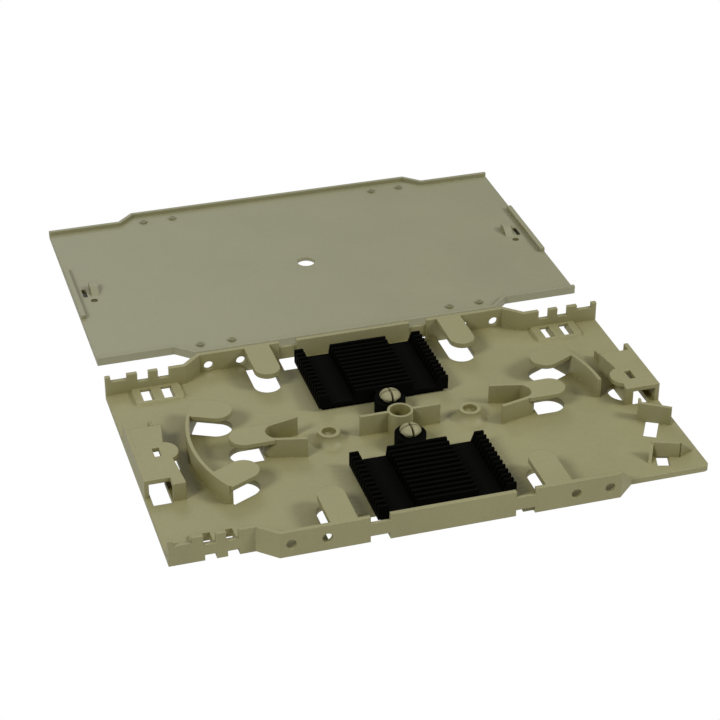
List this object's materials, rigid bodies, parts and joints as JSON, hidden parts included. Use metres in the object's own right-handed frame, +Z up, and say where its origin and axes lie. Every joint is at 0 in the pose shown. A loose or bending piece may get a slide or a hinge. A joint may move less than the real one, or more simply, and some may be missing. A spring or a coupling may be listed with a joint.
{
  "type": "fibre splice tray",
  "caption": "Low moulded fibre splice tray with curved fibre guides, retaining tongues and end bridges, two clip-on black splice holders and a flat lid lying beside it.",
  "frame": {"origin": "centre of the tray on its underside, below the hub", "axes": "+X along the tray, the open corner at +X -Y; +Y from the front of the tray to its back, where the lid lies; +Z up out of the tray"},
  "size_m": [0.1714, 0.2195, 0.0101],
  "materials": {
    "tray_plastic": "smooth satin moulded beige",
    "lid_plastic": "smooth satin moulded beige",
    "holder_plastic": "satin moulded black"
  },
  "bodies": {
    "root": {"tray": "tray_plastic", "lid": "lid_plastic", "splice_holder_rear": "holder_plastic", "splice_holder_front": "holder_plastic"}
  },
  "joints": []
}
